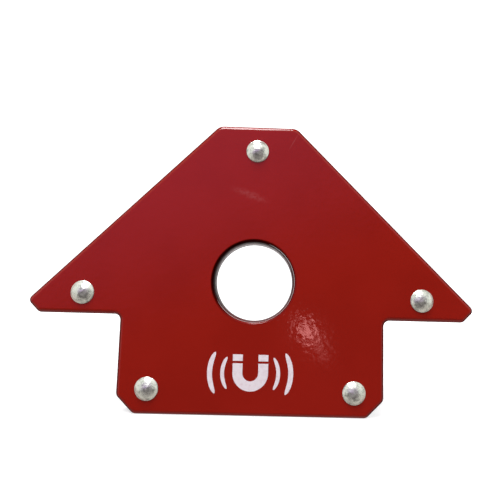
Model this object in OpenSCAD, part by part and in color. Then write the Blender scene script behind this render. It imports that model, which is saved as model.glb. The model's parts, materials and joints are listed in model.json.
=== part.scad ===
// Arrow-shaped magnetic welding holder.
// Two steel plates clamp ferrite magnets and a moulded core between them, held by five rivets.
// It stands on its base edge with the arrow pointing up. X runs along the base, -Y is the front
// face, and the origin is on the base edge, halfway along it and halfway through the thickness.

/* [Outline] */
// Height from the base edge to the top edge
height = 102; // [101:0.2:111]
// Length of the flat top edge, before its corners are rounded
top_w = 28; // [27:1:34]
// Height of the undersides of the two wings
wing_z = 33.5; // [32:0.25:34]
// Width of the stem below the wings
stem_w = 92; // [89:0.2:96]
// Length of each wing's underside that the 45 degree tip cut takes off
tip_cut = 8.5; // [6:0.5:10]
// Width and height of the 45 degree cut at each foot
foot_cut = 6; // [4:0.2:7]
// Corner radius at the wing tips
tip_r = 2; // [1.2:0.1:3]
// Corner radius where the wings meet the stem
inner_r = 2; // [1:0.1:4]
// Corner radius at the feet
foot_r = 2.5; // [1.5:0.1:3]
// Corner radius at both ends of the top edge
top_r = 4; // [2:0.1:5]

/* [Centre hole] */
// Height of the hole's axis
hole_z = 46; // [45.3:0.1:46.5]
// Diameter of the clear hole
hole_d = 28.5; // [24:0.5:29]
// Wall of the tube that lines the hole between the plates
sleeve_wall = 1.5; // [1:0.1:1.6]

/* [Layers] */
// Thickness of each steel plate
plate_t = 2; // [1.5:0.1:3]
// Gap between the plates, set by the magnets
gap = 10; // [8:0.5:16]
// How far the core sits back from the plates' edges
edge_recess = 1; // [0.5:0.1:1.1]

/* [Rivets] */
// Height of the top rivet
top_rivet_z = 92.65; // [91.8:0.05:93]
// Distance of the wing rivets from the middle
wing_rivet_x = 59; // [58:0.05:61]
// Height of the wing rivets
wing_rivet_z = 40.8; // [40:0.1:42]
// Distance of the foot rivets from the middle
foot_rivet_x = 35.4; // [34:0.1:37]
// Height of the foot rivets
foot_rivet_z = 8.7; // [7.5:0.05:9]
// Diameter of the rivet heads
head_d = 8; // [7:0.1:9]
// Height of the rivet heads above the plates
head_h = 2; // [1.5:0.1:2.5]
// Diameter of the rivet shanks
shank_d = 5; // [4:0.1:5.6]
// Outside diameter of the spacer tubes on the shanks
spacer_d = 9; // [8:0.1:9.4]

/* [Magnets] */
// Width of the lower magnet block
lower_magnet_w = 50; // [40:1:52]
// Width of each side magnet block
side_magnet_w = 30; // [24:1:31]
// Height of the lower and side magnet blocks
magnet_h = 25; // [20:1:25]
// Width of the upper magnet block
upper_magnet_w = 40; // [30:1:44]
// Height of the upper magnet block
upper_magnet_h = 20; // [12:1:21]

/* [Hidden] */

$fn = 64;
fit_gap = 0.1;             // clearance round each tube and shank
pocket_gap = 0.2;          // clearance round each magnet in the core
root2 = sqrt(2);

front_y = -gap / 2;        // inner face of the front plate
back_y = gap / 2;          // inner face of the back plate
body_t = gap + 2 * plate_t;
slant_sum = height + top_w / 2;                   // x + z all along the right slant
tip_diff = slant_sum - tip_cut - 2 * wing_z;      // x - z all along the right tip cut
sleeve_r = hole_d / 2 + sleeve_wall;
bore_r = shank_d / 2 + fit_gap;                   // rivet holes in the plates and spacers
formed_d = head_d + 0.4;                          // the formed head spreads a little wider
formed_dome_h = 1.3 * head_h;                     // its dome's height before the top is flattened
rim_h = 0.2;                                      // straight rim under both domes

// Rivet places as [x, z].
top_place = [0, top_rivet_z];
left_wing_place = [-wing_rivet_x, wing_rivet_z];
right_wing_place = [wing_rivet_x, wing_rivet_z];
left_foot_place = [-foot_rivet_x, foot_rivet_z];
right_foot_place = [foot_rivet_x, foot_rivet_z];
rivet_places = [top_place, left_wing_place, right_wing_place, left_foot_place, right_foot_place];

// Magnet blocks as [middle x, lowest z, width, height].
lower_magnet_z = 3;
side_magnet_x = 34;
side_magnet_z = 36;
upper_magnet_z = 64;
lower_block = [0, lower_magnet_z, lower_magnet_w, magnet_h];
left_block = [-side_magnet_x, side_magnet_z, side_magnet_w, magnet_h];
right_block = [side_magnet_x, side_magnet_z, side_magnet_w, magnet_h];
upper_block = [0, upper_magnet_z, upper_magnet_w, upper_magnet_h];
blocks = [upper_block, left_block, right_block, lower_block];

paint_color = "firebrick";
rivet_color = "gainsboro";
tube_color = "silver";
ferrite_color = "dimgray";
core_color = [0.12, 0.12, 0.13];

// Corners of the right half of the arrow, set back by inset, as [x, z, radius].
// A radius below zero marks the concave corner under the wing.
function right_corners(inset) =
    let(
        side = stem_w / 2 - inset,
        foot_diff = stem_w / 2 - foot_cut - inset * root2,
        under = wing_z + inset,
        diff = tip_diff - inset * root2,
        sum = slant_sum - inset * root2,
        top = height - inset
    )
    [
        [foot_diff + inset, inset, foot_r],
        [side, side - foot_diff, foot_r],
        [side, under, -inner_r - inset],
        [under + diff, under, tip_r],
        [(sum + diff) / 2, (sum - diff) / 2, tip_r],
        [sum - top, top, top_r]
    ];

function mirrored(corners) =
    [for (i = [len(corners) - 1 : -1 : 0]) [-corners[i][0], corners[i][1], corners[i][2]]];

function unit(v) = v / norm(v);
function place(corner) = [corner[0], corner[1]];

// The arc that rounds corner i: [start point, end point, centre, radius].
function corner_arc(corners, i) =
    let(
        n = len(corners),
        here = place(corners[i]),
        back = unit(place(corners[(i + n - 1) % n]) - here),
        on = unit(place(corners[(i + 1) % n]) - here),
        radius = abs(corners[i][2]),
        half_angle = acos(back * on) / 2,
        run = radius / tan(half_angle)
    )
    [here + back * run, here + on * run, here + unit(back + on) * radius / sin(half_angle), radius];

// A closed outline whose corners are true arcs.
module rounded_outline(corners) {
    arcs = [for (i = [0 : len(corners) - 1]) corner_arc(corners, i)];
    difference() {
        union() {
            polygon([
                for (i = [0 : len(corners) - 1])
                    each corners[i][2] < 0
                        ? [arcs[i][0], arcs[i][2], arcs[i][1]]
                        : [arcs[i][0], arcs[i][1]]
            ]);
            for (i = [0 : len(corners) - 1])
                if (corners[i][2] > 0)
                    translate(arcs[i][2]) circle(r = arcs[i][3]);
        }
        for (i = [0 : len(corners) - 1])
            if (corners[i][2] < 0)
                translate(arcs[i][2]) circle(r = arcs[i][3]);
    }
}

// The whole arrow, set back by inset from the plates' edges.
module arrow(inset) {
    corners = right_corners(inset);
    rounded_outline(concat(corners, mirrored(corners)));
}

// Stands an outline drawn in x and z upright, from y to y + thickness.
module upright(y, thickness) {
    translate([0, y + thickness, 0]) rotate([90, 0, 0]) linear_extrude(thickness) children();
}

// A drilled side plate from y to y + plate_t.
module plate(y) {
    upright(y, plate_t) difference() {
        arrow(0);
        translate([0, hole_z]) circle(d = hole_d);
        for (spot = rivet_places) translate(spot) circle(r = bore_r);
    }
}

// A tube between the plates, round the point spot.
module tube(spot, inside_r, outside_r) {
    upright(front_y, gap) translate(spot) difference() {
        circle(r = outside_r);
        circle(r = inside_r);
    }
}

// The outline of a magnet block, grown by grow on every side.
module block(spec, grow) {
    translate([spec[0] - spec[2] / 2 - grow, spec[1] - grow])
        square([spec[2] + 2 * grow, spec[3] + 2 * grow]);
}

// A round head over a disc at y = 0, rising towards +Y: a short straight rim, then a dome that
// would reach dome_h, cut flat at cut_h.
module head(diameter, dome_h, cut_h) {
    crown_h = dome_h - rim_h;
    ball_r = (pow(diameter / 2, 2) + pow(crown_h, 2)) / (2 * crown_h);
    intersection() {
        translate([0, dome_h - ball_r, 0]) sphere(r = ball_r);
        rotate([-90, 0, 0]) cylinder(d = diameter, h = cut_h);
    }
}

module rivet(spot) {
    color(rivet_color) translate([spot[0], 0, spot[1]]) union() {
        translate([0, -body_t / 2, 0]) mirror([0, 1, 0]) head(head_d, head_h, head_h);
        translate([0, body_t / 2, 0]) head(formed_d, formed_dome_h, head_h);
        translate([0, -body_t / 2, 0]) rotate([-90, 0, 0]) cylinder(d = shank_d, h = body_t);
    }
}

module spacer(spot) {
    color(tube_color) tube(spot, bore_r, spacer_d / 2);
}

module magnet(spec) {
    color(ferrite_color) upright(front_y, gap) block(spec, 0);
}

module front_plate() {
    color(paint_color) plate(front_y - plate_t);
}

module back_plate() {
    color(paint_color) plate(back_y);
}

module core_frame() {
    color(core_color) upright(front_y, gap) difference() {
        arrow(edge_recess);
        translate([0, hole_z]) circle(r = sleeve_r + fit_gap);
        for (spot = rivet_places) translate(spot) circle(r = spacer_d / 2 + fit_gap);
        for (spec = blocks) block(spec, pocket_gap);
    }
}

module hole_sleeve() {
    color(tube_color) tube([0, hole_z], hole_d / 2, sleeve_r);
}

front_plate();
back_plate();
core_frame();
hole_sleeve();
magnet(upper_block);  // upper_magnet
magnet(left_block);  // left_magnet
magnet(right_block);  // right_magnet
magnet(lower_block);  // lower_magnet
spacer(top_place);  // top_spacer
spacer(left_wing_place);  // left_wing_spacer
spacer(right_wing_place);  // right_wing_spacer
spacer(left_foot_place);  // left_foot_spacer
spacer(right_foot_place);  // right_foot_spacer
rivet(top_place);  // top_rivet
rivet(left_wing_place);  // left_wing_rivet
rivet(right_wing_place);  // right_wing_rivet
rivet(left_foot_place);  // left_foot_rivet
rivet(right_foot_place);  // right_foot_rivet
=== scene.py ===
import json
import math

import bmesh
import bpy
from mathutils import Matrix, Vector, noise


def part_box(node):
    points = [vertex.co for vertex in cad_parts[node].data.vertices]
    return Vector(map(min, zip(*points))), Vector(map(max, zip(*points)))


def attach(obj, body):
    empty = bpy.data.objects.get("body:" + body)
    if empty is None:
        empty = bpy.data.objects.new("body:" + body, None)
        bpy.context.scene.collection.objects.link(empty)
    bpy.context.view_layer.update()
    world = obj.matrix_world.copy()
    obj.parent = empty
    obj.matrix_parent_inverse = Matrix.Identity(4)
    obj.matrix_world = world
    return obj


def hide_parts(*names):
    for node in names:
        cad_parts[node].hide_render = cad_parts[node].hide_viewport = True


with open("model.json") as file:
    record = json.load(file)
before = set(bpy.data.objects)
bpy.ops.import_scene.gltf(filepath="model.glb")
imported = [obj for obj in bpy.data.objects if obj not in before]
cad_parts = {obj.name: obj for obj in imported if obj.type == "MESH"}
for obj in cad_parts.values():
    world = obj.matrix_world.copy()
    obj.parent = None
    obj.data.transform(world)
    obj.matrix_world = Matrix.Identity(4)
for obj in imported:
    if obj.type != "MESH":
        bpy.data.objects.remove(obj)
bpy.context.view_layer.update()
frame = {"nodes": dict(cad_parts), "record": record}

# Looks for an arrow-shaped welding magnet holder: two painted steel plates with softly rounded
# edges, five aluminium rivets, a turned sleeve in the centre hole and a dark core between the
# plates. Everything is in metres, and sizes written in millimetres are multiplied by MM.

MM = 0.001
BODY = "root"
RECORD = frame["record"]
MOUNTS = {mount["name"]: mount for mount in RECORD["mounts"]}

# ---------------------------------------------------------------- sizes taken from the frame

plate_low, plate_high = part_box("front_plate")
back_low, back_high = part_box("back_plate")
BASE_Z = plate_low.z
TOP_Z = plate_high.z
STEM_X = MOUNTS["right_stem_side"]["pos_m"][0]
WING_Z = MOUNTS["right_wing_underside"]["pos_m"][2]
SLANT_SUM = MOUNTS["right_slant_edge"]["pos_m"][0] + MOUNTS["right_slant_edge"]["pos_m"][2]
HOLE_Z = MOUNTS["centre_hole"]["pos_m"][2]
HOLE_R = MOUNTS["centre_hole"]["dims"]["r_mm"] * MM
RIVETS = ["top_rivet", "left_wing_rivet", "right_wing_rivet", "left_foot_rivet", "right_foot_rivet"]

# Corner cuts and radii of the outline, as the CAD source has them.
TIP_CUT = 8.5 * MM
FOOT_CUT = 6.0 * MM
TIP_R = 2.0 * MM
INNER_R = 2.0 * MM
FOOT_R = 2.5 * MM
TOP_R = 4.0 * MM
SHY = 0.01 * MM             # how far the outline keeps inside the CAD outline

# Rounding of the painted edges.
FACE_ROUND = 1.65 * MM      # outer face to edge
BACK_ROUND = 0.3 * MM       # hidden face to edge
RIM_ROUND = 0.7 * MM        # outer face to hole
RIM_BACK_ROUND = 0.1 * MM   # hidden face to hole
BURR_ROUND = 0.2 * MM       # both faces to the rivet holes

# Rivets.
HEAD_R = 4.0 * MM
HEAD_RIM = 0.2 * MM         # straight rim under the dome
HEAD_ROLL = 0.12 * MM       # width of the rolled edge between dome and rim
FORMED_DOME = 1.3           # a formed head's dome before it is flattened, over the head's height
SHANK_R = 2.5 * MM
BORE_R = SHANK_R + 0.1 * MM
DENT_DEPTH = 0.06 * MM      # deepest dent in a front head
DENT_SIZE = 1.7 * MM        # about how far apart the dents are
DENT_REACH = 4.2 * MM       # distance from the rivet's axis where the dents have faded out


# ---------------------------------------------------------------- camera

EYE = Vector((2.71 * MM, plate_low.y - 146.3 * MM, BASE_Z + 41.8 * MM))
YAW, PITCH, ROLL = (math.radians(angle) for angle in (1.06, 5.0, 1.54))


def add_camera():
    """The camera stands just in front of the holder, a little below its middle."""
    turn = Matrix.Rotation(-YAW, 4, "Z") @ Matrix.Rotation(math.pi / 2 + PITCH, 4, "X")
    data = bpy.data.cameras.new("camera")
    data.lens = 30.12
    data.sensor_width = 36.0
    data.shift_x = -0.040
    data.shift_y = 0.015
    data.clip_start = 0.005
    data.clip_end = 50.0
    camera = bpy.data.objects.new("camera", data)
    camera.matrix_world = Matrix.Translation(EYE) @ turn @ Matrix.Rotation(ROLL, 4, "Z")
    bpy.context.scene.collection.objects.link(camera)
    bpy.context.scene.camera = camera


# ---------------------------------------------------------------- node helpers

class Nodes:
    """Adds nodes to a tree. A value is a number, a vector, a colour or another node's socket."""

    def __init__(self, tree):
        self.tree = tree

    def add(self, kind, inputs=None, **settings):
        node = self.tree.nodes.new(kind)
        for key, value in settings.items():
            setattr(node, key, value)
        for key, value in (inputs or {}).items():
            self.feed(node.inputs[key], value)
        return node

    def feed(self, socket, value):
        if isinstance(value, bpy.types.NodeSocket):
            self.tree.links.new(value, socket)
        elif socket.type == "RGBA":
            socket.default_value = (*value, 1)
        else:
            socket.default_value = value

    def math(self, operation, *values):
        return self.add("ShaderNodeMath", dict(enumerate(values)), operation=operation).outputs[0]

    def vector_math(self, operation, *values):
        node = self.add("ShaderNodeVectorMath", dict(enumerate(values)), operation=operation)
        return node.outputs["Value" if operation in ("LENGTH", "DOT_PRODUCT") else "Vector"]

    def ramp(self, value, low, high, out_low=0.0, out_high=1.0, smooth=True):
        """Goes from out_low to out_high as value goes from low to high, and stays level outside."""
        return self.add("ShaderNodeMapRange", {
            "Value": value, "From Min": low, "From Max": high, "To Min": out_low, "To Max": out_high,
        }, interpolation_type="SMOOTHSTEP" if smooth else "LINEAR").outputs["Result"]

    def mix(self, factor, under, over):
        """A colour: under where factor is 0, over where it is 1."""
        node = self.add("ShaderNodeMix", {"Factor": factor}, data_type="RGBA")
        self.feed(node.inputs[6], under)
        self.feed(node.inputs[7], over)
        return node.outputs[2]


class Recipe(Nodes):
    """A node material built step by step around one Principled shader."""

    def __init__(self, name):
        self.material = bpy.data.materials.new(name)
        self.material.use_nodes = True
        super().__init__(self.material.node_tree)
        self.shader = self.tree.nodes["Principled BSDF"]
        coordinates = self.add("ShaderNodeTexCoord")
        self.place = coordinates.outputs["Object"]
        self.lean = coordinates.outputs["Normal"]

    def set(self, **values):
        """Sets or links the Principled shader's own sockets, named with underscores for spaces."""
        for key, value in values.items():
            self.feed(self.shader.inputs[key.replace("_", " ")], value)

    def noise(self, size_mm, detail=2.0, rough=0.5, stretch=None):
        """Noise whose features are about size_mm across. stretch scales the three axes."""
        place = self.place
        if stretch:
            place = self.add("ShaderNodeMapping", {"Vector": place, "Scale": stretch}).outputs[0]
        return self.add("ShaderNodeTexNoise", {
            "Vector": place, "Scale": 1.0 / (size_mm * MM), "Detail": detail, "Roughness": rough,
        }).outputs["Fac"]

    def depth(self, value):
        """The Y part of a vector."""
        return self.add("ShaderNodeSeparateXYZ", {"Vector": value}).outputs["Y"]

    def toward(self, value, way):
        """Cosine between a vector and a fixed direction."""
        return self.vector_math("DOT_PRODUCT", self.vector_math("NORMALIZE", value), way)

    def from_hole(self):
        """The way out from the centre hole's axis."""
        return self.vector_math("MULTIPLY_ADD", self.place, (1, 0, 1), (0, 0, -HOLE_Z))

    def oval(self, x_mm, z_mm, tilt, half_length_mm, half_width_mm):
        """A soft oval, 1 in its middle, turned tilt degrees clockwise as seen from the front."""
        centre = (x_mm * MM, 0, BASE_Z + z_mm * MM)
        turned = self.add("ShaderNodeVectorRotate", {
            "Vector": self.vector_math("SUBTRACT", self.place, centre), "Angle": math.radians(-tilt),
        }, rotation_type="Y_AXIS").outputs["Vector"]
        scale = (1 / (half_length_mm * MM), 0, 1 / (half_width_mm * MM))
        reach = self.vector_math("LENGTH", self.vector_math("MULTIPLY", turned, scale))
        return self.ramp(reach, 0.0, 1.0, 1.0, 0.0)

    def spots(self, size_mm, keep):
        """Small sparse spots, 1 in the middle of each, on the share keep of the cells."""
        cell = self.add("ShaderNodeTexVoronoi", {"Vector": self.place, "Scale": 1.0 / (size_mm * MM)})
        pick = self.add("ShaderNodeSeparateColor", {"Color": cell.outputs["Color"]}).outputs["Red"]
        chosen = self.math("LESS_THAN", pick, keep)
        near = self.ramp(cell.outputs["Distance"], 0.04, 0.09, 1.0, 0.0)
        return self.math("MULTIPLY", chosen, near)

    def bump(self, height, depth_mm, under=None):
        node = self.add("ShaderNodeBump", {"Height": height, "Distance": depth_mm * MM})
        if under:
            self.feed(node.inputs["Normal"], under)
        return node.outputs["Normal"]


# ---------------------------------------------------------------- materials

PAINT_DEEP = (0.308, 0.0078, 0.0022)
PAINT_FRESH = (0.330, 0.0090, 0.0030)
# The next two colours are painted shade: one for the rounded edges, one for the hole's mouth.
PAINT_EDGE_SHADE = (0.085, 0.004, 0.006)
PAINT_MOUTH_SHADOW = (0.016, 0.0012, 0.001)
PAINT_WORN = (0.75, 0.35, 0.35)
PAINT_DUST = (0.62, 0.16, 0.15)
PAINT_IOR = 1.5


def wear_mask(m):
    """A faint smear above the hole and a fine scratch near the top, on the front face only."""
    smear = m.oval(-2.2, 76.8, 19, 9.1, 2.1)
    grain = m.ramp(m.noise(1.2, 4, 0.6), 0.30, 0.72, 0.0, 0.12)
    scratch = m.oval(12.9, 96.7, -61, 4.8, 0.25)
    worn = m.math("MAXIMUM", m.math("MULTIPLY", smear, grain), m.math("MULTIPLY", scratch, 0.10))
    in_front = m.ramp(m.depth(m.place), plate_high.y - 1.0 * MM, plate_high.y, 1.0, 0.0)
    return m.math("MULTIPLY", worn, in_front)


def edge_shade_mask(m):
    """How much painted shade darkens the rounded edges: most on the sides, least on top and bottom.
    """
    facing = m.math("ABSOLUTE", m.depth(m.lean))
    sideways = m.math("ABSOLUTE", m.toward(m.lean, (1, 0, 0)))
    turning = m.math("MULTIPLY", m.ramp(facing, 0.80, 0.998, 1.0, 0.0),
                     m.ramp(facing, 0.05, 0.4, 0.3, 1.0))
    return m.math("MULTIPLY", turning, m.ramp(sideways, 0.1, 0.5, 0.1, 1.0))


def mouth_shadow_mask(m):
    """How much painted shadow darkens the paint round the hole's mouth: most on the upper left."""
    out = m.from_hole()
    mouth_shadow = m.ramp(m.vector_math("LENGTH", out), HOLE_R + 0.45 * MM, HOLE_R + 1.05 * MM, 1.0, 0.0)
    side = m.ramp(m.toward(out, (-0.75, 0, 0.66)), -0.4, 0.7, 0.25, 0.95)
    return m.math("MULTIPLY", mouth_shadow, side)


def powder_coat():
    """Glossy dark red powder coat: orange peel, faint blotches, a few dust nibs and rub marks, and
    painted shade on the rounded edges and round the hole's mouth.
    """
    m = Recipe("red_powder_coat")
    clouds = m.ramp(m.noise(22, 3), 0.35, 0.65)
    red = m.mix(clouds, PAINT_DEEP, PAINT_FRESH)
    red = m.mix(wear_mask(m), red, PAINT_WORN)
    dust = m.spots(4.0, 0.05)
    red = m.mix(m.math("MULTIPLY", dust, 0.45), red, PAINT_DUST)
    # Painted shade darkens the rounded edges, most on the sides.
    edge_shade = edge_shade_mask(m)
    red = m.mix(m.math("MULTIPLY", edge_shade, 0.75), red, PAINT_EDGE_SHADE)
    # Painted shadow on the paint round the hole's mouth, heaviest on the upper left.
    mouth_shadow = mouth_shadow_mask(m)
    m.set(Base_Color=m.mix(mouth_shadow, red, PAINT_MOUTH_SHADOW))
    matt = m.math("MAXIMUM", mouth_shadow, m.math("MULTIPLY", edge_shade, 0.6))
    m.set(IOR=m.ramp(matt, 0.0, 0.8, PAINT_IOR, 1.0, smooth=False))
    rub = m.ramp(m.noise(5, 4, 0.6, (0.25, 1, 1.4)), 0.60, 0.78)
    gloss = m.ramp(m.noise(14, 4), 0.3, 0.7, 0.075, 0.105)
    m.set(Roughness=m.math("ADD", gloss, m.math("MULTIPLY", rub, 0.10)))
    peel = m.bump(m.noise(1.6, 1.0, 0.4), 0.036)
    peel = m.bump(m.noise(0.7, 1.0, 0.5), 0.006, peel)
    m.set(Normal=m.bump(dust, 0.02, peel))
    return m.material


def rivet_metal():
    """Bright aluminium, planished smooth, with small dents, tarnish and fine scratches."""
    m = Recipe("rivet_aluminium")
    stain = m.ramp(m.noise(1.3, 4, 0.6), 0.46, 0.66)
    m.set(Base_Color=m.mix(stain, (0.90, 0.92, 0.84), (0.50, 0.52, 0.47)), Metallic=0.85)
    m.set(Roughness=m.ramp(m.noise(0.9, 3), 0.3, 0.7, 0.20, 0.38))
    dents = m.bump(m.noise(1.6, 3, 0.5), 0.20)
    m.set(Normal=m.bump(m.noise(0.25, 2, 0.5, (1, 1, 0.12)), 0.008, dents))
    return m.material


def turned_metal(name, shade, rough, overspray=0.0):
    """Aluminium tube with the fine rings that a lathe leaves, round the Y axis.

    Painted shade darkens its front half, further in on the left. overspray is how much red paint has
    drifted onto its lower right.
    """
    m = Recipe(name)
    stain = m.ramp(m.noise(4, 4), 0.35, 0.7)
    out = m.from_hole()
    # Painted shade: darkest at the tube's front, reaching further in on the left.
    left = m.ramp(m.toward(out, (-0.9, 0, -0.43)), 0.1, 0.95, 0.0, 2.5 * MM)
    deep = m.math("SUBTRACT", m.math("MULTIPLY_ADD", stain, 1.5 * MM, m.depth(m.place)), left)
    front_shade = m.ramp(deep, -4.0 * MM, 5.0 * MM, 1.0, 0.0, smooth=False)
    spray = m.ramp(m.toward(out, (0.6, 0, -0.8)), -0.3, 0.5, 0.0, overspray)
    tone = m.mix(stain, shade, tuple(0.7 * c for c in shade))
    tone = m.mix(m.math("MULTIPLY", front_shade, 0.97), tone, (0.03, 0.022, 0.022))
    m.set(Base_Color=m.mix(spray, tone, (0.16, 0.03, 0.03)))
    m.set(IOR=m.ramp(front_shade, 0.0, 0.5, 1.3, 1.0, smooth=False))
    shade_and_spray = m.math("MAXIMUM", front_shade, spray)
    m.set(Metallic=m.ramp(shade_and_spray, 0.0, 0.9, 1.0, 0.0, smooth=False))
    grain = m.ramp(m.noise(1.5, 3), 0.3, 0.7, rough, rough + 0.12)
    m.set(Roughness=m.math("ADD", grain, m.math("MULTIPLY", front_shade, 0.4)))
    m.set(Normal=m.bump(m.noise(0.35, 2, 0.6, (0.03, 1, 0.03)), 0.015))
    return m.material


def core_plastic():
    """Black moulded plastic with a fine grain and paler scuffs."""
    m = Recipe("black_moulded_plastic")
    scuff = m.ramp(m.noise(6, 5, 0.65, (0.5, 1, 1)), 0.58, 0.80)
    m.set(Base_Color=m.mix(scuff, (0.016, 0.016, 0.018), (0.05, 0.05, 0.052)))
    m.set(Roughness=m.ramp(m.noise(3, 3), 0.3, 0.7, 0.42, 0.60))
    m.set(Normal=m.bump(m.noise(0.22, 2, 0.6), 0.02))
    return m.material


def ferrite():
    """Dull grey-black sintered ceramic with grinding marks and a few pale chips."""
    m = Recipe("ferrite_ceramic")
    chips = m.spots(2.2, 0.06)
    tone = m.mix(m.noise(3, 5, 0.7), (0.045, 0.045, 0.050), (0.085, 0.085, 0.090))
    m.set(Base_Color=m.mix(m.math("MULTIPLY", chips, 0.5), tone, (0.22, 0.22, 0.23)))
    m.set(Roughness=m.ramp(m.noise(1.2, 3), 0.3, 0.7, 0.60, 0.80))
    grind = m.bump(m.noise(0.3, 3, 0.6, (1, 0.08, 1)), 0.02)
    m.set(Normal=m.bump(chips, 0.05, grind))
    return m.material


def print_ink():
    """White screen print: slightly uneven, a touch of red showing through."""
    m = Recipe("white_print")
    thin = m.ramp(m.noise(1.1, 4, 0.6), 0.40, 0.75)
    m.set(Base_Color=m.mix(thin, (0.97, 0.88, 0.92), (0.88, 0.74, 0.79)))
    m.set(Roughness=m.ramp(m.noise(2, 2), 0.3, 0.7, 0.30, 0.42))
    m.set(Normal=m.bump(m.noise(2.3, 1.0, 0.4), 0.05))
    return m.material


def studio_floor():
    """Pale matt floor that glows a little, more further out, so that it stays white."""
    m = Recipe("pale_floor")
    tone = m.mix(m.noise(400, 3), (0.58, 0.58, 0.58), (0.61, 0.61, 0.61))
    glow = m.ramp(m.vector_math("LENGTH", m.place), 0.12, 0.5, 0.70, 1.1)
    m.set(Base_Color=tone, Roughness=0.9, Emission_Color=(1, 1, 1), Emission_Strength=glow)
    return m.material


# ---------------------------------------------------------------- mesh helpers

def new_object(name, bm, material, normals=None):
    """Turns a bmesh into a piece that rides with the holder."""
    mesh = bpy.data.meshes.new(name)
    bm.to_mesh(mesh)
    bm.free()
    for polygon in mesh.polygons:
        polygon.use_smooth = True
    if normals:
        mesh.normals_split_custom_set_from_vertices(normals)
    mesh.materials.append(material)
    piece = bpy.data.objects.new(name, mesh)
    bpy.context.scene.collection.objects.link(piece)
    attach(piece, BODY)
    return piece


def skin(bm, rings):
    """Joins closed rings of vertices with quads."""
    for ring, after in zip(rings, rings[1:]):
        count = len(ring)
        for i in range(count):
            j = (i + 1) % count
            bm.faces.new((ring[i], ring[j], after[j], after[i]))


def ring_edges(bm, ring):
    bm.edges.ensure_lookup_table()
    return [bm.edges.get((ring[i], ring[(i + 1) % len(ring)])) for i in range(len(ring))]


def arc(centre, radius, start, end, steps):
    """Points on an arc, with their directions from the centre."""
    out = []
    for i in range(steps + 1):
        angle = start + (end - start) * i / steps
        way = Vector((math.cos(angle), math.sin(angle)))
        out.append((centre + radius * way, way))
    return out


# ---------------------------------------------------------------- painted plates

def arrow_corners():
    """The arrow's corners, anticlockwise from the right foot, as (point, radius, convex)."""
    tip_diff = SLANT_SUM - TIP_CUT - 2 * WING_Z
    right = [
        (Vector((STEM_X - FOOT_CUT, BASE_Z)), FOOT_R, True),
        (Vector((STEM_X, BASE_Z + FOOT_CUT)), FOOT_R, True),
        (Vector((STEM_X, WING_Z)), INNER_R, False),
        (Vector((WING_Z + tip_diff, WING_Z)), TIP_R, True),
        (Vector(((SLANT_SUM + tip_diff) / 2, (SLANT_SUM - tip_diff) / 2)), TIP_R, True),
        (Vector((SLANT_SUM - TOP_Z, TOP_Z)), TOP_R, True),
    ]
    left = [(Vector((-p.x, p.y)), r, convex) for p, r, convex in reversed(right)]
    return right + left


def arrow_outline():
    """Points on the arrow's rounded outline, each with its outward direction."""
    corners = arrow_corners()
    outline = []
    for i, (here, radius, convex) in enumerate(corners):
        back = (corners[i - 1][0] - here).normalized()
        on = (corners[(i + 1) % len(corners)][0] - here).normalized()
        half = back.angle(on) / 2
        centre = here + (back + on).normalized() * radius / math.sin(half)
        run = radius / math.tan(half)
        first = here + back * run - centre
        last = here + on * run - centre
        start = math.atan2(first.y, first.x)
        turn = (math.atan2(last.y, last.x) - start + math.pi) % (2 * math.pi) - math.pi
        steps = max(4, round(abs(turn) / math.radians(6)))
        for point, way in arc(centre, radius, start, start + turn, steps):
            outward = way if convex else -way
            outline.append((point - SHY * outward, outward))
    return outline


def circle_outline(centre, radius, steps):
    """Points on a hole's edge, each with the direction out of the plate's metal."""
    turn = arc(centre, radius, 0, 2 * math.pi, steps)[:-1]
    return [(point, -way) for point, way in turn]


def edge_profile(outer_y, inner_y, outer_round, inner_round, steps):
    """Rows from the outer face round the edge to the inner face, as (inset, y, lean, face).

    lean and face are the parts of the normal that point out of the edge and along Y.
    """
    away = 1 if inner_y > outer_y else -1
    rows = []
    for i in range(steps + 1):
        angle = math.pi / 2 * i / steps
        rows.append((outer_round * (1 - math.sin(angle)),
                     outer_y + away * outer_round * (1 - math.cos(angle)),
                     math.sin(angle), -away * math.cos(angle)))
    for i in range(steps + 1):
        angle = math.pi / 2 * i / steps
        rows.append((inner_round * (1 - math.cos(angle)),
                     inner_y - away * inner_round * (1 - math.sin(angle)),
                     math.cos(angle), away * math.sin(angle)))
    return rows


def rivet_middle(node):
    """Where a rivet's axis crosses the plates, as x and z."""
    low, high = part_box(node)
    return (low.x + high.x) / 2, (low.z + high.z) / 2


def plate_loops(outer_y, inner_y):
    """All edges of a plate, as pairs of an outline and the profile that rounds it."""
    hole = circle_outline(Vector((0, HOLE_Z)), HOLE_R, 96)
    loops = [
        (arrow_outline(), edge_profile(outer_y, inner_y, FACE_ROUND, BACK_ROUND, 6)),
        (hole, edge_profile(outer_y, inner_y, RIM_ROUND, RIM_BACK_ROUND, 5)),
    ]
    for node in RIVETS:
        drilled = circle_outline(Vector(rivet_middle(node)), BORE_R, 32)
        loops.append((drilled, edge_profile(outer_y, inner_y, BURR_ROUND, BURR_ROUND, 2)))
    return loops


def painted_plate(name, node, outer_y, inner_y, material):
    """A side plate with rounded edges, drilled for the hole and the rivets."""
    bm = bmesh.new()
    normals = []
    outer_edges, inner_edges = [], []
    for outline, profile in plate_loops(outer_y, inner_y):
        rings = []
        for inset, y, lean, face in profile:
            ring = []
            for point, way in outline:
                spot = point - inset * way
                ring.append(bm.verts.new((spot.x, y, spot.y)))
                normals.append((lean * way.x, face, lean * way.y))
            rings.append(ring)
        skin(bm, rings)
        outer_edges += ring_edges(bm, rings[0])
        inner_edges += ring_edges(bm, rings[-1])
    for edges in (outer_edges, inner_edges):
        bmesh.ops.triangle_fill(bm, use_beauty=True, use_dissolve=False, edges=edges)
    bmesh.ops.recalc_face_normals(bm, faces=bm.faces[:])
    piece = new_object(name, bm, material, normals)
    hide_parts(node)
    return piece


# ---------------------------------------------------------------- turned pieces

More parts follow.
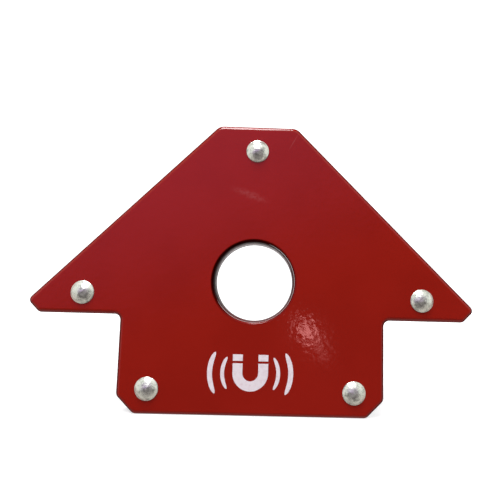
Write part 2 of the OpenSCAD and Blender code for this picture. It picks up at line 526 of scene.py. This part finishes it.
def revolve(bm, axis_x, axis_z, profile, steps):
    """Sweeps (radius, y) rows round an axis along Y. A zero radius closes the end."""
    rings = []
    for radius, y in profile:
        if radius == 0:
            rings.append([bm.verts.new((axis_x, y, axis_z))])
            continue
        ring = []
        for i in range(steps):
            angle = 2 * math.pi * i / steps
            way = Vector((math.cos(angle), math.sin(angle)))
            ring.append(bm.verts.new((axis_x + radius * way.x, y, axis_z + radius * way.y)))
        rings.append(ring)
    for ring, after in zip(rings, rings[1:]):
        if len(ring) == 1 or len(after) == 1:
            hub, rim = (ring[0], after) if len(ring) == 1 else (after[0], ring)
            for i in range(steps):
                bm.faces.new((hub, rim[i], rim[(i + 1) % steps]))
        else:
            skin(bm, [ring, after])


def dome_rows(radius, height, face_y, out, flat_top=0.0):
    """Rows of a rivet head from its crown to the plate. out is -1 at the front, 1 at the back.

    flat_top is how much is flattened off a dome of the given height.
    """
    crown = height - HEAD_RIM
    ball = (radius ** 2 + crown ** 2) / (2 * crown)
    widest = math.asin((radius - HEAD_ROLL) / ball)
    rows = [(0.0, face_y + out * (height - flat_top))]
    steps = 14
    for i in range(1, steps + 1):
        angle = widest * i / steps
        rise = height - ball * (1 - math.cos(angle))
        rows.append((ball * math.sin(angle), face_y + out * min(rise, height - flat_top)))
    last_r, last_y = rows[-1]
    rise = (last_y - face_y) * out
    for i in range(1, 5):
        angle = math.pi / 2 * i / 4
        rows.append((last_r + (radius - last_r) * math.sin(angle),
                     face_y + out * rise * (1 - 0.45 * (1 - math.cos(angle)))))
    # The rim draws in a little where it meets the plate.
    rows.append((radius - 0.03 * MM, face_y + out * 0.06 * MM))
    rows.append((radius - 0.15 * MM, face_y))
    return rows


def rivet(node, index, material):
    """A solid rivet: smooth factory head in front, shank, and a flatter formed head behind."""
    low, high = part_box(node)
    x, z = rivet_middle(node)
    height = plate_low.y - low.y
    formed_r = (high.x - low.x) / 2
    flat_top = (FORMED_DOME - 1) * height
    front = dome_rows(HEAD_R, height, plate_low.y, -1)
    formed = dome_rows(formed_r, FORMED_DOME * height, back_high.y, 1, flat_top)
    rows = front + [(SHANK_R, plate_low.y), (SHANK_R, back_high.y)] + formed[::-1]
    bm = bmesh.new()
    revolve(bm, x, z, rows, steps=72)
    bmesh.ops.recalc_face_normals(bm, faces=bm.faces[:])
    dent_heads(bm, x, z, index)
    piece = new_object(node.replace("_rivet", "_rivet_finished"), bm, material)
    piece.data.set_sharp_from_angle(angle=math.radians(50))
    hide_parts(node)
    return piece


def dent_heads(bm, x, z, index):
    """Presses shallow hammer dents into both heads, never outwards, deeper at the back."""
    for vert in bm.verts:
        front = vert.co.y < plate_low.y - 0.1 * MM
        back = vert.co.y > back_high.y + 0.1 * MM
        if not (front or back):
            continue
        spot = Vector((vert.co.x, vert.co.z, 0.01 * index)) / DENT_SIZE
        depth = DENT_DEPTH * (0.5 + 0.5 * noise.noise(spot))
        if back:
            depth *= 2.0
        reach = math.hypot(vert.co.x - x, vert.co.z - z) / DENT_REACH
        depth *= max(0.0, 1 - reach ** 4)
        vert.co.y += depth if front else -depth


def hole_sleeve(material):
    """The tube that lines the hole, with its ends eased."""
    low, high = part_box("hole_sleeve")
    outer = (high.x - low.x) / 2
    ease = 0.06 * MM
    rows = [
        (HOLE_R + ease, low.y), (HOLE_R, low.y + ease), (HOLE_R, high.y - ease),
        (HOLE_R + ease, high.y), (outer - ease, high.y), (outer, high.y - ease),
        (outer, low.y + ease), (outer - ease, low.y), (HOLE_R + ease, low.y),
    ]
    bm = bmesh.new()
    revolve(bm, 0.0, HOLE_Z, rows, steps=128)
    bmesh.ops.remove_doubles(bm, verts=bm.verts[:], dist=0.001 * MM)
    bmesh.ops.recalc_face_normals(bm, faces=bm.faces[:])
    piece = new_object("hole_sleeve_turned", bm, material)
    piece.data.set_sharp_from_angle(angle=math.radians(30))
    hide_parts("hole_sleeve")
    return piece


# ---------------------------------------------------------------- printed mark

def ribbon(bm, inner, outer, y_face, y_print):
    """A closed thin slab between two matched rows of points, lying on the front face."""
    sides = []
    for y in (y_face, y_print):
        sides.append([[bm.verts.new((p.x, y, p.y)) for p in row] for row in (inner, outer)])
    (a, b), (c, d) = sides
    last = len(a) - 1
    for i in range(last):
        bm.faces.new((a[i], a[i + 1], b[i + 1], b[i]))
        bm.faces.new((c[i], d[i], d[i + 1], c[i + 1]))
        bm.faces.new((a[i], c[i], c[i + 1], a[i + 1]))
        bm.faces.new((b[i], b[i + 1], d[i + 1], d[i]))
    for i in (0, last):
        bm.faces.new((a[i], b[i], d[i], c[i]))


# Field lines each side of the mark's magnet, as (radius, width, half of the sweep in degrees).
FIELD_LINES = [(9.6 * MM, 1.3 * MM, 34), (13.9 * MM, 1.7 * MM, 30)]


def printed_mark(material):
    """A plain horseshoe magnet with field lines each side, printed low on the front face."""
    y_face = plate_low.y + 0.005 * MM
    y_print = plate_low.y - 0.035 * MM
    centre = Vector((-0.3 * MM, BASE_Z + 14.6 * MM))
    outer_r, inner_r = 6.1 * MM, 2.7 * MM
    arm_top, gap, cap_top = 3.3 * MM, 0.8 * MM, 6.3 * MM
    bm = bmesh.new()

    def bow(radius):
        row = [centre + Vector((-radius, arm_top))]
        row += [p for p, way in arc(centre, radius, math.pi, 2 * math.pi, 28)]
        return row + [centre + Vector((radius, arm_top))]

    ribbon(bm, bow(inner_r), bow(outer_r), y_face, y_print)
    for side in (-1, 1):
        cap = [[centre + Vector((side * r, h)) for h in (arm_top + gap, cap_top)]
               for r in (inner_r, outer_r)]
        ribbon(bm, *cap, y_face, y_print)
        middle = 0 if side > 0 else math.pi
        for radius, width, sweep in FIELD_LINES:
            rows = [[], []]
            for i in range(25):
                share = 2 * i / 24 - 1
                half = width / 2 * math.sqrt(max(0.02, 1 - share ** 4))
                angle = middle + math.radians(sweep) * share
                way = Vector((math.cos(angle), math.sin(angle)))
                rows[0].append(centre + (radius - half) * way)
                rows[1].append(centre + (radius + half) * way)
            ribbon(bm, *rows, y_face, y_print)
    bmesh.ops.recalc_face_normals(bm, faces=bm.faces[:])
    piece = new_object("printed_mark", bm, material)
    piece.data.set_sharp_from_angle(angle=math.radians(40))
    return piece


# ---------------------------------------------------------------- studio

# Brightness and tint of the room, which the camera doesn't see.
PATCH_LOW = (0.12, 0.10, 0.10)
PATCH_HIGH = (0.42, 0.27, 0.55)
WALL_LOW = (0.60, 0.56, 0.52)
WALL_HIGH = (0.84, 0.86, 0.82)
CEILING = (0.12, 0.12, 0.12)
BAND = (0.05, 0.05, 0.05)
BACK_LOW = (0.42, 0.40, 0.40)
BACK_HIGH = (0.03, 0.03, 0.03)
BACK_GLOW = (1.0, 0.98, 0.98)

# The window stands in front, high up and a little to the left.
WINDOW_RISE = math.radians(63)
WINDOW_TURN = math.radians(-14)
WINDOW_AWAY = 0.8

# Small warm lamps whose reflections make one smeared highlight low on the right of the front.
# Each is (name, x and z of its reflection in millimetres, size, radiance).
LAMPS = [
    ("lamp_head", 18.8, 29.6, (0.024, 0.010), 9.5),
    ("lamp_tail", 21.8, 25.6, (0.042, 0.008), 2.2),
]
LAMP_AWAY = 0.25
LAMP_COLOR = (1.0, 0.42, 0.40)
LAMP_TILT = math.radians(-52)


def add_floor():
    """A pale floor that runs up into a wall far behind and all round."""
    flat_r, cove_r, wall, steps = 3.0, 1.0, 4.0, 64
    rows = [(0.3, 0.0), (1.0, 0.0), (flat_r, 0.0)]
    for i in range(1, 13):
        angle = math.pi / 2 * i / 12
        rows.append((flat_r + cove_r * math.sin(angle), cove_r * (1 - math.cos(angle))))
    rows.append((flat_r + cove_r, wall))
    turn = [2 * math.pi * i / steps for i in range(steps)]
    bm = bmesh.new()
    rings = []
    for radius, height in rows:
        rings.append([bm.verts.new((radius * math.cos(a), radius * math.sin(a), BASE_Z + height))
                      for a in turn])
    bm.faces.new(rings[0])
    skin(bm, rings)
    bmesh.ops.recalc_face_normals(bm, faces=bm.faces[:])
    mesh = bpy.data.meshes.new("studio_floor")
    bm.to_mesh(mesh)
    bm.free()
    mesh.materials.append(studio_floor())
    for polygon in mesh.polygons:
        polygon.use_smooth = True
    floor = bpy.data.objects.new("studio_floor", mesh)
    bpy.context.scene.collection.objects.link(floor)
    floor.visible_glossy = False
    floor.visible_diffuse = False
    floor.visible_shadow = False


def area_light(name, place, target, size, radiance, color, shape="RECTANGLE", turn=0.0):
    """An area light of the given radiance that faces target. size is (width, height)."""
    data = bpy.data.lights.new(name, "AREA")
    data.shape = shape
    data.size, data.size_y = size
    area = size[0] * size[1] * (math.pi / 4 if shape == "ELLIPSE" else 1)
    data.energy = radiance * math.pi * area
    data.color = color
    light = bpy.data.objects.new(name, data)
    aim = (target - place).to_track_quat("-Z", "Y").to_matrix().to_4x4()
    light.matrix_world = Matrix.Translation(place) @ aim @ Matrix.Rotation(turn, 4, "Z")
    light.visible_camera = False
    bpy.context.scene.collection.objects.link(light)
    return light


def add_lights(lit):
    """A window in front, a fill behind, and lamps that light only the collection lit."""
    middle = Vector((0, 0, (BASE_Z + TOP_Z) / 2))
    level = math.cos(WINDOW_RISE)
    way = Vector((math.sin(WINDOW_TURN) * level, -math.cos(WINDOW_TURN) * level,
                  math.sin(WINDOW_RISE)))
    window = middle + WINDOW_AWAY * way
    area_light("window", window, middle, (0.28, 0.58), 13.5, (0.97, 0.99, 1.0))
    rear = Vector((0.5, 1.0, 0.45))
    fill = area_light("rear_fill", rear, middle, (1.2, 1.2), 1.5, (1.0, 1.0, 1.0))
    fill.visible_glossy = False
    for name, x, z, size, radiance in LAMPS:
        spot = Vector((x * MM, plate_low.y, BASE_Z + z * MM))
        seen = (EYE - spot).normalized()
        mirrored = Vector((-seen.x, seen.y, -seen.z))
        lamp = area_light(name, spot + LAMP_AWAY * mirrored, spot, size, radiance, LAMP_COLOR,
                          "ELLIPSE", LAMP_TILT)
        lamp.visible_diffuse = False
        lamp.light_linking.receiver_collection = lit


def add_surroundings():
    """A room that only lights the holder: pale walls round a dim patch behind the camera."""
    world = bpy.data.worlds.new("room")
    bpy.context.scene.world = world
    world.use_nodes = True
    n = Nodes(world.node_tree)
    way = n.add("ShaderNodeTexCoord").outputs["Generated"]
    split = n.add("ShaderNodeSeparateXYZ", {"Vector": way}).outputs
    depth, height = split["Y"], split["Z"]

    def along(axis):
        return n.vector_math("DOT_PRODUCT", way, axis)

    patch = n.mix(n.ramp(along((-0.4, 0, 1)), -0.05, 0.42), PATCH_LOW, PATCH_HIGH)
    walls = n.mix(n.ramp(height, -0.6, 0.2), WALL_LOW, WALL_HIGH)
    walls = n.mix(n.ramp(height, 0.80, 0.95), walls, CEILING)
    from_band = n.math("ABSOLUTE", along((0.743, -0.669, 0)))
    walls = n.mix(n.ramp(from_band, 0.09, 0.03), walls, BAND)
    front = n.mix(n.ramp(along((-0.05, 0.978, 0.2)), -0.86, -0.50), patch, walls)
    back = n.mix(n.ramp(height, -0.15, 0.15), BACK_LOW, BACK_HIGH)
    back = n.mix(n.ramp(depth, 0.955, 0.985), back, BACK_GLOW)
    room = n.mix(n.ramp(depth, 0.0, 0.3), front, back)
    n.feed(world.node_tree.nodes["Background"].inputs["Color"], room)


# ---------------------------------------------------------------- build

bpy.context.scene.view_settings.view_transform = "Standard"
add_camera()
add_floor()
lamp_lit = bpy.data.collections.new("lamp_lit")
add_lights(lamp_lit)
add_surroundings()

paint = powder_coat()
front = painted_plate("front_plate_painted", "front_plate", plate_low.y, plate_high.y, paint)
painted_plate("back_plate_painted", "back_plate", back_high.y, back_low.y, paint)

metal = rivet_metal()
for index, node in enumerate(RIVETS):
    rivet(node, index, metal)
hole_sleeve(turned_metal("turned_sleeve", (0.90, 0.84, 0.84), rough=0.30, overspray=0.8))
mark = printed_mark(print_ink())

# The lamps' highlight belongs on the painted front and the print, not on the rivets.
for piece in (front, mark):
    lamp_lit.objects.link(piece)

inner_finish = {
    "core_frame": core_plastic(),
    "magnet": ferrite(),
    "spacer": turned_metal("spacer_tube", (0.66, 0.66, 0.66), rough=0.35),
}
for name, node in frame["nodes"].items():
    for ending, material in inner_finish.items():
        if name.endswith(ending):
            for material_slot in node.material_slots:
                material_slot.material = material
